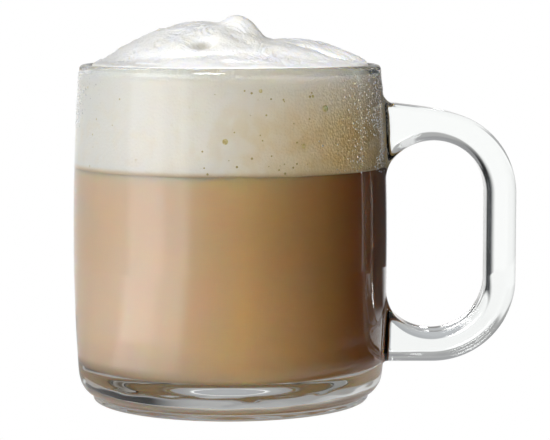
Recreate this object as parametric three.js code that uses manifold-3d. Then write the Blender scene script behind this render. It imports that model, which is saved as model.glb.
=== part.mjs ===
// A latte in a clear glass mug: the pressed glass mug with its handle, the milky coffee, and the head
// of milk foam that stands over the rim.
// Millimetres, +Z up. The origin is the middle of the foot, on the table. The handle points along +X.

import * as THREE from "three";
import { mergeVertices } from "three/addons/utils/BufferGeometryUtils.js";
import Module from "manifold-3d";

const wasm = await Module();
wasm.setup();

// The mug: a barrel, widest a little below the middle and drawn in towards the rim and the heel.
const mugHeight = 90;
const bellyRadius = 42.2;
const bellyHeight = 42;
const rimDrawIn = 1.9;
const heelDrawIn = 1.0;
const heelHeight = 9.5;
const wallAtRim = 2.9;
const wallAtHeel = 3.6;

// The foot: a flat, low disc set in under the heel.
const footRadius = 37.2;
const footHeight = 1.9;
const footEdge = 0.9;

// The floor inside: thick glass with a round corner up to the wall.
const floorHeight = 9;
const floorCorner = 8;

// The handle: a round-ended finger gap inside a band of glass, flared where it meets the wall.
const gapCentreX = 54.3;
const gapRadius = 14.2;
const gapTopCentre = 55.6;
const gapBottomCentre = 32.6;
const bandWidth = 8.0;
const handleThickness = 13;
const handleRound = 2.2;
const shoulderAngle = 60;
const rootTop = 79.6;
const rootFlare = 1.6;
const rootStartX = 28;
const rootTrimRadius = 39.5;

// The drink: coffee with milk up to coffeeTop, foam over it, which meets the wall just under the rim.
const coffeeTop = 62.6;
const foamContact = 87.4;
const clearance = 0.3;

// The foam's own form, in heights above the rim. Each mound is a round hump, and where two meet there is
// a crease. x and y are its middle, along and across its half widths at the rim's level, and turn the
// angle of along from +X in degrees.
const foamCentreRise = 4.2;
const creaseSoftness = 0.4;
const shoulderWidth = 1.4;
const mounds = [
  { name: "left mound", x: -7, y: 2, along: 28.6, across: 27, turn: 0, top: 11.2 },
  { name: "peak", x: 1.7, y: 0, along: 11.4, across: 10.5, turn: -20, top: 13.0 },
  { name: "skirt of the peak", x: 4, y: -5, along: 28, across: 19, turn: -12, top: 6.7 },
  { name: "right mound", x: 15.5, y: 9, along: 22.8, across: 21, turn: 0, top: 6.6 },
  { name: "small curl", x: -1.2, y: -9, along: 8.5, across: 8, turn: 20, top: 7.6 },
];
const dimple = { x: -7.2, y: -15.5, along: 3.1, across: 2.2, depth: 2.2 };

const lathSegments = 64;

// The mug's outer radius at a height.
function outerRadius(z) {
  const up = (z - bellyHeight) / (mugHeight - bellyHeight);
  const down = (bellyHeight - z) / (bellyHeight - heelHeight);
  return z > bellyHeight ? bellyRadius - rimDrawIn * up * up : bellyRadius - heelDrawIn * down * down;
}

// The cavity's radius at a height on the wall.
function innerRadius(z) {
  const up = THREE.MathUtils.clamp((z - heelHeight) / (mugHeight - heelHeight), 0, 1);
  return outerRadius(z) - THREE.MathUtils.lerp(wallAtHeel, wallAtRim, up);
}

// Points of a wall, (radius, height), evenly spaced between two heights.
function wallPoints(radiusAt, from, to, steps) {
  return Array.from({ length: steps + 1 }, (_, i) => {
    const z = THREE.MathUtils.lerp(from, to, i / steps);
    return new THREE.Vector2(radiusAt(z), z);
  });
}

// The cavity's round corner and floor, from the wall in to the axis, raised and drawn in by gap.
function floorPoints(gap, steps) {
  const corner = new THREE.Path();
  const wall = innerRadius(floorHeight + floorCorner) - gap;
  corner.moveTo(wall, floorHeight + floorCorner);
  corner.quadraticCurveTo(wall - 0.5, floorHeight + gap, wall - floorCorner - 1, floorHeight + gap);
  return [...corner.getPoints(steps), new THREE.Vector2(0, floorHeight + gap)];
}

// A closed lathe solid from a profile that starts and ends on the axis.
function lathe(profile) {
  return new THREE.LatheGeometry(profile, lathSegments).rotateX(Math.PI / 2);
}

// A closed geometry as a solid to cut or join.
function solidOf(geometry) {
  const bare = geometry.clone();
  bare.deleteAttribute("normal");
  bare.deleteAttribute("uv");
  const merged = mergeVertices(bare, 1e-4);
  const triVerts = new Uint32Array(merged.index.array);
  return new wasm.Manifold(
    new wasm.Mesh({ numProp: 3, vertProperties: merged.attributes.position.array, triVerts }),
  );
}

// A solid as a geometry to show.
function geometryOf(solid) {
  const { vertProperties, triVerts, numProp, numVert } = solid.getMesh();
  const position = new Float32Array(numVert * 3);
  for (let i = 0; i < numVert; i++) {
    position.set(vertProperties.subarray(i * numProp, i * numProp + 3), i * 3);
  }
  const geometry = new THREE.BufferGeometry();
  geometry.setAttribute("position", new THREE.BufferAttribute(position, 3));
  geometry.setIndex(new THREE.BufferAttribute(triVerts, 1));
  geometry.computeVertexNormals();
  return geometry;
}

// The cup without its handle: foot, heel, outer wall, rounded rim, inner wall and floor.
function cupGeometry() {
  const base = new THREE.Path();
  base.moveTo(0, 0);
  base.lineTo(footRadius - footEdge, 0);
  base.quadraticCurveTo(footRadius, 0, footRadius, footEdge);
  base.lineTo(footRadius + 0.1, footHeight);
  const heelTop = outerRadius(heelHeight);
  base.bezierCurveTo(heelTop - 0.9, 2.9, heelTop - 0.2, 5.6, heelTop, heelHeight);

  const rimOuter = outerRadius(mugHeight);
  const rimInner = rimOuter - wallAtRim;
  const lipHeight = wallAtRim / 2;
  const lip = new THREE.Path();
  lip.absarc((rimOuter + rimInner) / 2, mugHeight - lipHeight, lipHeight, 0, Math.PI, false);

  return lathe([
    ...base.getPoints(5),
    ...wallPoints(outerRadius, heelHeight, mugHeight - lipHeight, 12).slice(1, -1),
    ...lip.getPoints(3),
    ...wallPoints(innerRadius, mugHeight - lipHeight, floorHeight + floorCorner, 9).slice(1, -1),
    ...floorPoints(0, 6),
  ]);
}

// The handle: a band whose outline runs back into the wall, with the finger gap as its hole.
function handleGeometry() {
  const bandRadius = gapRadius + bandWidth;
  const bottom = gapBottomCentre - bandRadius;
  const shoulder = THREE.MathUtils.degToRad(shoulderAngle);
  const shoulderX = gapCentreX + bandRadius * Math.cos(shoulder);
  const shoulderZ = gapTopCentre + bandRadius * Math.sin(shoulder);
  const rootX = bellyRadius + rootFlare;
  const band = new THREE.Shape();
  band.moveTo(rootStartX, bottom);
  band.lineTo(gapCentreX, bottom);
  band.absarc(gapCentreX, gapBottomCentre, bandRadius, -Math.PI / 2, 0, false);
  band.absarc(gapCentreX, gapTopCentre, bandRadius, 0, shoulder, false);
  band.bezierCurveTo(shoulderX - 5.6, shoulderZ + 3.2, gapCentreX - 4, rootTop - 0.9, rootX, rootTop);
  band.quadraticCurveTo(rootX - 2 * rootFlare, rootTop + 0.3, rootTrimRadius, rootTop + 2 * rootFlare);
  band.lineTo(rootStartX, rootTop + 2 * rootFlare);
  band.closePath();
  const gap = new THREE.Path();
  gap.absarc(gapCentreX, gapTopCentre, gapRadius, 0, Math.PI, false);
  gap.absarc(gapCentreX, gapBottomCentre, gapRadius, Math.PI, 2 * Math.PI, false);
  gap.closePath();
  band.holes.push(gap);
  return new THREE.ExtrudeGeometry(band, {
    depth: handleThickness - 2 * handleRound,
    curveSegments: 12,
    bevelEnabled: true,
    bevelThickness: handleRound,
    bevelSize: handleRound,
    bevelOffset: -handleRound,
    bevelSegments: 3,
  })
    .translate(0, 0, -handleThickness / 2 + handleRound)
    .rotateX(Math.PI / 2);
}

// The mug: the handle is trimmed inside the wall and fused to the cup, as pressed glass is.
function mugGeometry() {
  const plug = new THREE.CylinderGeometry(rootTrimRadius, rootTrimRadius, 2 * mugHeight, lathSegments);
  const handle = solidOf(handleGeometry()).subtract(solidOf(plug.rotateX(Math.PI / 2)));
  return geometryOf(solidOf(cupGeometry()).add(handle));
}

// The coffee fills the cavity from the floor to coffeeTop.
function coffeeGeometry() {
  const side = (z) => innerRadius(z) - clearance;
  return lathe([
    ...floorPoints(clearance, 6).reverse(),
    ...wallPoints(side, floorHeight + floorCorner, coffeeTop, 6).slice(1),
    new THREE.Vector2(0, coffeeTop),
  ]);
}

// A mound's height above the rim at a place.
function moundHeight(mound, x, y) {
  const turn = THREE.MathUtils.degToRad(mound.turn);
  const dx = x - mound.x;
  const dy = y - mound.y;
  const u = (dx * Math.cos(turn) + dy * Math.sin(turn)) / mound.along;
  const v = (dy * Math.cos(turn) - dx * Math.sin(turn)) / mound.across;
  return mound.top * (1 - u * u - v * v);
}

// The foam's top surface: mounds over a low dome, softly joined, with the dimple taken out. Close to the
// wall a steep shoulder brings it down to where it touches the glass.
function foamHeight(x, y) {
  const edge = innerRadius(foamContact) - clearance;
  const away = Math.hypot(x, y);
  const dome = foamCentreRise * (1 - (away / edge) ** 2);
  const heights = [dome, ...mounds.map((mound) => moundHeight(mound, x, y))];
  const sum = heights.reduce((total, height) => total + Math.exp(height / creaseSoftness), 0);
  const pit = ((x - dimple.x) / dimple.along) ** 2 + ((y - dimple.y) / dimple.across) ** 2;
  const shape = creaseSoftness * Math.log(sum) - dimple.depth * Math.exp(-pit);
  const hold = THREE.MathUtils.smoothstep(away, edge - shoulderWidth, edge);
  return mugHeight + THREE.MathUtils.lerp(shape, foamContact - mugHeight, hold ** 2);
}

// The foam: a plug that lines the wall from the coffee up, with the modelled top.
function foamGeometry() {
  const side = (z) => innerRadius(z) - clearance;
  const bottom = coffeeTop + clearance;
  const edge = side(foamContact);
  const rings = 21;
  const shoulderRings = [0.3, 0.75].map((part) => new THREE.Vector2(edge - part * shoulderWidth, mugHeight));
  const topRings = Array.from(
    { length: rings + 1 },
    (_, i) => new THREE.Vector2((edge - shoulderWidth) * (1 - i / rings), mugHeight),
  );
  const geometry = lathe([
    new THREE.Vector2(0, bottom),
    ...wallPoints(side, bottom, foamContact, 4),
    ...shoulderRings,
    ...topRings,
  ]);
  const position = geometry.attributes.position;
  for (let i = 0; i < position.count; i++) {
    if (position.getZ(i) > (foamContact + mugHeight) / 2) {
      position.setZ(i, foamHeight(position.getX(i), position.getY(i)));
    }
  }
  geometry.computeVertexNormals();
  return geometry;
}

const glass = new THREE.MeshStandardMaterial({
  color: 0xf2f7f6,
  roughness: 0.02,
  metalness: 0,
  transparent: true,
  opacity: 0.35,
});
const milkyCoffee = new THREE.MeshStandardMaterial({ color: 0xb8946a, roughness: 0.35, metalness: 0 });
const milkFoam = new THREE.MeshStandardMaterial({ color: 0xf3efe6, roughness: 0.75, metalness: 0 });

function named(name, geometry, material) {
  const mesh = new THREE.Mesh(geometry, material);
  mesh.name = name;
  return mesh;
}

const latte = new THREE.Group();
latte.add(
  named("glass_mug", mugGeometry(), glass),
  named("milk_coffee", coffeeGeometry(), milkyCoffee),
  named("foam_head", foamGeometry(), milkFoam),
);

export default latte;
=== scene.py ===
# %% [markdown]
# # A latte in a clear glass mug
# The object is a pressed-glass mug of milky coffee under a deep head of milk foam. The CAD frame gives the
# true size and place of each solid. This file builds the fine surfaces and finishes over it: the glass as
# one smooth fused body, the drink and foam that touch it, the bubbles and the condensation, then the light.

# %% Open the frame
import math

import bmesh
import bpy
import numpy as np
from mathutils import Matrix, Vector, noise
from mathutils.geometry import delaunay_2d_cdt


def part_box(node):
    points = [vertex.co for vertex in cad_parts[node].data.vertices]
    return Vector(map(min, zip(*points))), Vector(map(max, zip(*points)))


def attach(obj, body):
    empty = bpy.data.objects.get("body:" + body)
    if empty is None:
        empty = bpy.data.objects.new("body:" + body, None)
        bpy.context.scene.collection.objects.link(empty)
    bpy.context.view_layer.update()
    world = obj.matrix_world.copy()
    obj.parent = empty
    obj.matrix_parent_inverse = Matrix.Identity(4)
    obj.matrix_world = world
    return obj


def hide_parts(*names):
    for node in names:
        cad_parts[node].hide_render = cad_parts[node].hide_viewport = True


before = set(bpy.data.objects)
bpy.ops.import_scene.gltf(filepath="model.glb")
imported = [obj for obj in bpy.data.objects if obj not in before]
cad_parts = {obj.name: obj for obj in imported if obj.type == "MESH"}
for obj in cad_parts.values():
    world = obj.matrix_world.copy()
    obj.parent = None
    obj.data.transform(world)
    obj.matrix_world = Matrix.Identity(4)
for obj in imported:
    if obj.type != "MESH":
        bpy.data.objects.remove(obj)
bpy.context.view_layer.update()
MM = 0.001

# %% [markdown]
# ## Sizes
# The CAD model is worked out from a few sizes of the real mug, in millimetres with the origin under the
# middle of its foot. The same sizes are named here, so that each fine surface lies where its solid does.
# The mug's height and the drink's level are read from the frame itself.

# %% Name the sizes
MUG_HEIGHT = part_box("glass_mug")[1].z / MM
COFFEE_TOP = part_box("milk_coffee")[1].z / MM
BELLY_RADIUS = 42.2
BELLY_HEIGHT = 42.0
RIM_DRAW_IN = 1.9
HEEL_DRAW_IN = 1.0
HEEL_HEIGHT = 9.5
WALL_AT_RIM = 2.9
WALL_AT_HEEL = 3.6
FOOT_RADIUS = 37.2
FOOT_HEIGHT = 1.9
FOOT_EDGE = 0.9
FLOOR_HEIGHT = 9.0
GAP_X = 54.3
GAP_RADIUS = 14.2
GAP_TOP = 55.6
GAP_BOTTOM = 32.6
BAND_RADIUS = GAP_RADIUS + 8.0
HANDLE_THICKNESS = 13.0
HANDLE_ROUND = 2.2
ROOT_TOP = 79.6
FOAM_CONTACT = 87.4
INTO_WALL = 0.15
print("mug", round(MUG_HEIGHT, 2), "mm high, coffee up to", round(COFFEE_TOP, 2))

# %% [markdown]
# ## The camera
# A long lens looks a little down on the mug. The rim, the foam line and the foot are ellipses that open
# slowly from top to bottom, which gives the lens its height, and their widths give its distance. The
# camera is made first, so that every later step can be rendered.

# %% Set the camera
LENS_HEIGHT = 107.6
LENS_DISTANCE = 590.0
AIM = (12.0, 0.0, 48.05)
FOCAL_PIXELS = 2200.0
FRAME_WIDTH = 550

camera = bpy.data.objects.new("camera", bpy.data.cameras.new("camera"))
bpy.context.scene.collection.objects.link(camera)
bpy.context.scene.camera = camera
camera.data.sensor_width = 36.0
camera.data.lens = FOCAL_PIXELS / FRAME_WIDTH * camera.data.sensor_width
camera.data.clip_start = 0.01
camera.location = Vector((AIM[0], -LENS_DISTANCE, LENS_HEIGHT)) * MM
camera.rotation_mode = "QUATERNION"
camera.rotation_quaternion = (Vector(AIM) * MM - camera.location).to_track_quat("-Z", "Y")
print("lens", round(camera.data.lens, 1), "mm")

# %% [markdown]
# ## Mesh helpers
# Every piece below is worked out as points and faces in NumPy and then put into a mesh in one go. That is
# fast, and each point can be placed exactly where the glass or the drink has it. One helper makes the mesh
# object and reports on it, one turns a half-section into a round body, as a lathe does, and one draws a
# smooth curve from a few control points.


# %% Make a mesh object from arrays
def mesh_object(name, points_mm, faces):
    """Put points, in millimetres, and faces into a smooth mesh object at the origin."""
    mesh = bpy.data.meshes.new(name)
    mesh.from_pydata((np.asarray(points_mm) * MM).tolist(), [], faces)
    made = bpy.data.objects.new(name, mesh)
    bpy.context.scene.collection.objects.link(made)
    check = bmesh.new()
    check.from_mesh(mesh)
    bmesh.ops.delete(check, geom=[point for point in check.verts if not point.link_faces])
    bmesh.ops.recalc_face_normals(check, faces=check.faces)
    open_edges = sum(not edge.is_manifold for edge in check.edges)
    check.to_mesh(mesh)
    check.free()
    mesh.shade_smooth()
    print(name, sum(len(face) - 2 for face in faces), "triangles,", open_edges, "open edges")
    return made


# %% Turn a half-section
def lathe(section, columns, leave_out=None):
    """Points, faces and rows of point numbers of a turned body; a point on the axis is made once."""
    angle = 2 * math.pi * np.arange(columns) / columns
    points, rows = [], []
    for radius, height in section:
        if radius < 1e-6:
            rows.append([len(points)] * columns)
            points.append((0.0, 0.0, height))
        else:
            rows.append(list(range(len(points), len(points) + columns)))
            ring = np.column_stack([radius * np.cos(angle), radius * np.sin(angle)])
            points.extend((x, y, height) for x, y in ring)
    faces = []
    for i in range(len(rows) - 1):
        for j in range(columns):
            if leave_out and leave_out(i, j):
                continue
            k = (j + 1) % columns
            corners = (rows[i][j], rows[i][k], rows[i + 1][k], rows[i + 1][j])
            faces.append(list(dict.fromkeys(corners)))
    return points, faces, rows


# %% Draw a smooth curve
def bezier(points, count):
    """Points along a Bezier curve, its last one left out so that curves can be chained."""
    points = np.asarray(points, float)
    degree = len(points) - 1
    t = np.linspace(0, 1, count, endpoint=False)[:, None]
    weights = [math.comb(degree, i) * t**i * (1 - t) ** (degree - i) for i in range(degree + 1)]
    return sum(weight * point for weight, point in zip(weights, points))


# %% [markdown]
# ## The glass body's section
# The body of a pressed mug is round, so one half-section describes it. The section runs from the middle of
# the underside out to the foot, up the barrel, over the fire-polished lip and down the inside to the middle
# of the glass floor. Its points lie close together where the glass bends light most: foot, heel and lip.
# It differs from the solid in two ways, because the bands of light in the photo's base need them: the
# underside is slightly hollow, as on many pressed mugs, and the inside meets its floor in a rounder corner.

# %% Name the base's own sizes
HOLLOW_RADIUS = 34.5
HOLLOW_DEPTH = 1.6
FLOOR_CORNER = 12.0


# %% Work out the wall and the floor
def outer_radius(z):
    """The barrel: widest at the belly, drawn in towards rim and heel."""
    z = np.asarray(z, float)
    up = (z - BELLY_HEIGHT) / (MUG_HEIGHT - BELLY_HEIGHT)
    down = (BELLY_HEIGHT - z) / (BELLY_HEIGHT - HEEL_HEIGHT)
    return BELLY_RADIUS - np.where(z > BELLY_HEIGHT, RIM_DRAW_IN * up**2, HEEL_DRAW_IN * down**2)


def inner_radius(z):
    """The cavity's wall."""
    up = np.clip((np.asarray(z, float) - HEEL_HEIGHT) / (MUG_HEIGHT - HEEL_HEIGHT), 0, 1)
    return outer_radius(z) - (WALL_AT_HEEL + (WALL_AT_RIM - WALL_AT_HEEL) * up)


def floor_section(into_glass=0.0):
    """The inside from the wall round the corner to the axis, or that much further into the glass."""
    top = FLOOR_HEIGHT + FLOOR_CORNER
    wall = float(inner_radius(top)) + into_glass
    floor = FLOOR_HEIGHT - into_glass
    flat = wall - FLOOR_CORNER - 1
    corner = bezier([(wall, top), (wall - 0.5, floor), (flat, floor)], 20)
    return np.vstack([corner, np.column_stack([np.linspace(flat, 0, 10), np.full(10, floor)])])


# %% Join the parts of the section
heel_top = float(outer_radius(HEEL_HEIGHT))
foot_top = (FOOT_RADIUS + 0.1, FOOT_HEIGHT)
heel_control = [foot_top, (heel_top - 0.9, 2.9), (heel_top - 0.2, 5.6), (heel_top, HEEL_HEIGHT)]
heel = bezier(heel_control, 40)[3:]
barrel_z = np.linspace(HEEL_HEIGHT, MUG_HEIGHT - WALL_AT_RIM / 2, 70)
skin = np.vstack([heel, np.column_stack([outer_radius(barrel_z), barrel_z])])
hollow_r = np.linspace(0, HOLLOW_RADIUS, 40)
hollow = np.column_stack([hollow_r, HOLLOW_DEPTH * (1 - (hollow_r / HOLLOW_RADIUS) ** 2) ** 2])
foot = np.vstack(
    [
        hollow,
        bezier([(FOOT_RADIUS - FOOT_EDGE, 0), (FOOT_RADIUS, 0), (FOOT_RADIUS, FOOT_EDGE)], 8),
        bezier([(FOOT_RADIUS, FOOT_EDGE), (FOOT_RADIUS, FOOT_HEIGHT - 0.4)], 3),
        bezier([(FOOT_RADIUS, FOOT_HEIGHT - 0.4), foot_top, heel[0]], 6),
    ]
)
lip_turn = np.linspace(0, math.pi, 24)[1:]
lip_x = skin[-1, 0] - WALL_AT_RIM / 2 * (1 - np.cos(lip_turn))
lip = np.column_stack([lip_x, skin[-1, 1] + WALL_AT_RIM / 2 * np.sin(lip_turn)])
inside_z = np.linspace(MUG_HEIGHT - WALL_AT_RIM / 2, FLOOR_HEIGHT + FLOOR_CORNER, 60)[1:-1]
inside = np.column_stack([inner_radius(inside_z), inside_z])
glass_section = np.vstack([foot, skin, lip, inside, floor_section()])
print("section points:", len(glass_section))

# %% [markdown]
# ## The handle, grown out of the wall
# A Boolean union of a turned body and a bent bar would leave a hard crease where they meet, and clear glass
# shows such a crease as a black line. Real pressed glass has a small fillet there. So the handle is lofted
# from a rounded-rectangle section that turns about the two ends of its finger gap, and each of its long
# lines is led into the wall over a fillet.

# %% Lay out the handle's section
ROUND_STEPS = 6
FLAT_STEPS = 8


def handle_section():
    """Points round the section: (set distance from the gap, share of the band's width, sideways)."""
    half = HANDLE_THICKNESS / 2
    turn = np.linspace(0, math.pi / 2, ROUND_STEPS + 1)
    bow = HANDLE_ROUND * (1 - np.cos(turn))
    side = half - HANDLE_ROUND + HANDLE_ROUND * np.sin(turn)
    share = np.linspace(0, 1, FLAT_STEPS + 1)[1:-1]
    flat = np.linspace(-1, 1, FLAT_STEPS + 1)[1:-1] * (half - HANDLE_ROUND)
    rows = [(b, 0, s) for b, s in zip(bow, side)]
    rows += [(HANDLE_ROUND * (1 - 2 * f), f, half) for f in share]
    rows += [(-b, 1, s) for b, s in zip(bow[::-1], side[::-1])]
    rows += [(0, 1, -f) for f in flat]
    rows += [(-b, 1, -s) for b, s in zip(bow, side)]
    rows += [(HANDLE_ROUND * (2 * f - 1), 1 - f, -half) for f in share]
    rows += [(b, 0, -s) for b, s in zip(bow[::-1], side[::-1])]
    rows += [(0, 0, f) for f in flat]
    return np.array(rows, float)


section = handle_section()
print("points round the handle's section:", len(section))

# %% [markdown]
# The outside of the handle is an arc round each end of its gap. At the top it leaves the arc at 60 degrees
# and runs over a long shoulder, where the thumb rests, to a crest just outside the wall. At the bottom it
# runs level into the wall. Both are read as a reach: how far the outside lies from the centre of that end.

# %% Draw the handle's outline
shoulder = np.array([GAP_X + BAND_RADIUS * 0.5, GAP_TOP + BAND_RADIUS * math.sqrt(0.75)])
crest = np.array([43.8, ROOT_TOP])
outline = np.vstack(
    [
        bezier([shoulder, shoulder + (-5.6, 3.2), (50.3, ROOT_TOP - 0.9), crest], 40),
        bezier([crest, (40.6, ROOT_TOP + 0.3), (39.5, ROOT_TOP + 3.2)], 20),
        bezier([(39.5, ROOT_TOP + 3.2), (20, ROOT_TOP + 3.2), (-60, ROOT_TOP + 3.2)], 40),
    ]
)
from_centre = outline - (GAP_X, GAP_TOP)
outline_turn = np.arctan2(from_centre[:, 1], from_centre[:, 0])
outline_reach = np.hypot(from_centre[:, 0], from_centre[:, 1])


def upper_reach(turn):
    """How far the band reaches from the gap's upper centre, at an angle from +X."""
    return np.where(turn < math.pi / 3, BAND_RADIUS, np.interp(turn, outline_turn, outline_reach))


def lower_reach(turn):
    """The same from the lower centre; the underside runs level back into the wall."""
    return np.where(turn < math.pi / 2, BAND_RADIUS, BAND_RADIUS / np.maximum(np.sin(turn), 0.15))


def band_points(turn, centre_z, reach, down):
    """Points of the long lines where the section has turned that far: one angle a row, or one a line."""
    turn = np.atleast_2d(turn)
    turn = np.broadcast_to(turn, (len(turn), len(section)))
    radius = GAP_RADIUS + section[:, 0] + section[:, 1] * (reach(turn) - GAP_RADIUS)
    x = GAP_X + radius * np.cos(turn)
    z = centre_z + down * radius * np.sin(turn)
    return np.stack([x, np.broadcast_to(section[:, 2], x.shape), z], axis=-1)


print("the shoulder leaves the arc at", shoulder.round(1))

# %% [markdown]
# Each long line is followed from deep inside the wall outwards, to a little past the turn that both roots
# share. It leaves the glass where its distance from the mug's axis passes the skin's radius. The fillet
# starts on the wall a little away from that point and ends on the line a little further out, with the
# crossing as the middle control point of its curve.
# It is a few millimetres wide and widest inside the gap. A clear fillet of that size shows as the dark line
# that runs down both roots in the photo.


# %% Put points on the wall and even them out
def skin_radius(z):
    """The outer skin's radius at a height, from the section itself."""
    return np.interp(z, skin[:, 1], skin[:, 0])


def on_skin(unrolled):
    """Points of the unrolled wall, (distance round, height), put back on the skin."""
    angle = unrolled[:, 0] / BELLY_RADIUS
    radius = skin_radius(unrolled[:, 1])
    return np.column_stack([radius * np.cos(angle), radius * np.sin(angle), unrolled[:, 1]])


def outward(ring):
    """Unit vectors that point out of a closed flat ring."""
    along = np.roll(ring, -1, axis=0) - np.roll(ring, 1, axis=0)
    out = np.column_stack([along[:, 1], -along[:, 0]])
    out /= np.linalg.norm(out, axis=1)[:, None]
    return out * np.sign(np.sum(out * (ring - ring.mean(axis=0))))


def evened(ring, passes):
    """Values round a closed ring, evened out with their neighbours."""
    for _ in range(passes):
        ring = (np.roll(ring, 1, axis=0) + 2 * ring + np.roll(ring, -1, axis=0)) / 4
    return ring


# %% Grow the roots
DEEP_TURN = 172
SHARED_TURN = 94
ROOT_ROWS = 9


def grow_root(centre_z, reach, down, at_gap, at_outside, at_side):
    """The root's ring on the unrolled wall, and the rows of points from it to a shared section."""
    turns = np.radians(np.linspace(DEEP_TURN, SHARED_TURN - 2, 1200))
    lines = band_points(turns[:, None], centre_z, reach, down)
    clear = np.hypot(lines[..., 0], lines[..., 1]) - skin_radius(lines[..., 2])
    each = np.arange(len(section))
    last = len(turns) - 1 - np.argmax(clear[::-1] < 0, axis=0)
    mix = (clear[last, each] / (clear[last, each] - clear[last + 1, each]))[:, None]
    crossing = lines[last, each] * (1 - mix) + lines[last + 1, each] * mix
    unrolled = np.column_stack([np.arctan2(crossing[:, 1], crossing[:, 0]) * BELLY_RADIUS, crossing[:, 2]])
    out = outward(unrolled)
    to_gap = -down * out[:, 1]
    spread = at_side + (at_gap - at_side) * np.clip(to_gap, 0, 1) ** 2
    spread += (at_outside - at_side) * np.clip(-to_gap, 0, 1) ** 2
    step = np.linalg.norm(np.diff(lines, axis=0), axis=2)
    ends = []
    for line in each:
        travelled = np.cumsum(step[last[line] + 1 :, line])
        ends.append(turns[last[line] + 2 + np.searchsorted(travelled, spread[line])])
    ends = evened(np.array(ends), 2)
    ring = evened(unrolled + out * spread[:, None], 2)
    start, finish = on_skin(ring), band_points(ends, centre_z, reach, down)[0]
    steps = np.linspace(0, 1, ROOT_ROWS)
    rows = [start * (1 - t) ** 2 + crossing * 2 * t * (1 - t) + finish * t**2 for t in steps]
    shared = math.radians(SHARED_TURN)
    for t in steps[1:]:
        rows.append(band_points(ends * (1 - t) + shared * t, centre_z, reach, down)[0])
    return ring, rows


upper_ring, upper_rows = grow_root(GAP_TOP, upper_reach, 1, at_gap=2.8, at_outside=2.4, at_side=2.8)
lower_ring, lower_rows = grow_root(GAP_BOTTOM, lower_reach, -1, at_gap=4.2, at_outside=1.4, at_side=2.8)
for where, ring in (("upper", upper_ring), ("lower", lower_ring)):
    print(where, "root on the wall from z", ring[:, 1].min().round(1), "to", ring[:, 1].max().round(1))

# %% [markdown]
# The wall's own grid is left out round the two roots. That gap is triangulated again with the two root
# rings as fixed outlines, on the unrolled wall, and every point then goes back onto the skin. The result
# is one closed skin of glass without a seam, which is what light passing through it needs.

# %% Turn the body without the wall under the handle
COLUMNS = 192
PATCH_COLUMNS = 8
PATCH_BOTTOM = 7.0
PATCH_TOP = 85.5
patch_rows = []
for i in range(len(foot), len(foot) + len(skin)):
    if PATCH_BOTTOM < glass_section[i][1] < PATCH_TOP:
        patch_rows.append(i)
first_row, last_row = patch_rows[0], patch_rows[-1]


def under_handle(i, j):
    """Whether a face of the lathe grid lies in the part that is made again."""
    return first_row <= i < last_row and (j < PATCH_COLUMNS or j >= COLUMNS - PATCH_COLUMNS)


points, faces, rows = lathe(glass_section, COLUMNS, under_handle)
print("rows of the grid:", len(rows), "of which the handle's patch has", len(patch_rows))

# %% [markdown]
# Pressing leaves the underside softly rippled and the heel slightly wavy. Both are fractions of a
# millimetre, but the thick base works as a lens, and they break its even bands of light into the streaks
# that the photo shows. Noise moves the grid's own points, so the skin stays closed.

# %% Ripple the underside and the heel
RIPPLE = 0.3
RIPPLE_SIZE = 6.5
HEEL_WAVE = 0.12
for i, (radius, height) in enumerate(hollow[1:-1], 1):
    fade = min(1.0, (HOLLOW_RADIUS - radius) / 3)
    for number in rows[i]:
        x, y, z = points[number]
        ripple = noise.noise(Vector((x, y, 3)) / RIPPLE_SIZE) + 0.4 * noise.noise(Vector((x, y, 8)) / 2.6)
        points[number] = (x, y, z + RIPPLE * fade * ripple)
for i, (radius, height) in enumerate(glass_section):
    if len(foot) <= i and height < PATCH_BOTTOM:
        fade = math.sin(math.pi * (height - FOOT_HEIGHT) / (PATCH_BOTTOM - FOOT_HEIGHT))
        for number in rows[i]:
            x, y, z = points[number]
            wave = 1 + HEEL_WAVE * fade * noise.noise(Vector((x / 6, y / 6, z / 2))) / radius
            points[number] = (x * wave, y * wave, z)
underside = [points[number][2] for i in range(len(hollow)) for number in rows[i]]
print("the underside lies from", round(min(underside), 2), "to", round(max(underside), 2), "mm")

# %% [markdown]
# The handle's rows run from the upper root over the gap's upper end, straight down and round its lower end
# to the lower root. Each row is one turn of the rounded section, and neighbouring rows are joined by faces.

# %% Loft the handle
turned = np.radians(np.linspace(0, SHARED_TURN, 42))
handle = list(upper_rows)
handle += [band_points(turn, GAP_TOP, upper_reach, 1)[0] for turn in turned[-2::-1]]
down_rows = [band_points(turn, GAP_BOTTOM, lower_reach, -1)[0] for turn in turned[:-1]]
handle += [handle[-1] * (1 - t) + down_rows[0] * t for t in np.linspace(0, 1, 12)[1:-1]]
handle += down_rows + lower_rows[::-1]
handle_rows = []
for row in handle:
    handle_rows.append(list(range(len(points), len(points) + len(row))))
    points.extend(row)
for one, two in zip(handle_rows[:-1], handle_rows[1:]):
    for j in range(len(one)):
        k = (j + 1) % len(one)
        faces.append([one[j], one[k], two[k], two[j]])
print("rows of the handle:", len(handle_rows))

# %% [markdown]
# The patch's flat points are those of the wall's grid that are clear of both rings. Its border is the
# grid's own edge, followed round once.


# %% Collect the patch's points
def inside_ring(points, ring):
    """Whether flat points lie inside a closed ring."""
    x, y = points[:, :1], points[:, 1:]
    x1, y1 = ring[:, 0], ring[:, 1]
    x2, y2 = np.roll(x1, -1), np.roll(y1, -1)
    crosses = (y1 > y) != (y2 > y)
    where = x1 + (y - y1) * (x2 - x1) / np.where(y2 == y1, 1, y2 - y1)
    return np.sum(crosses & (x < where), axis=1) % 2 == 1


def clear_of(ring, place):
    """Whether a flat point lies outside a ring and over half a millimetre from it."""
    return not inside_ring(place, ring)[0] and np.min(np.hypot(*(ring - place).T)) >= 0.6


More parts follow.
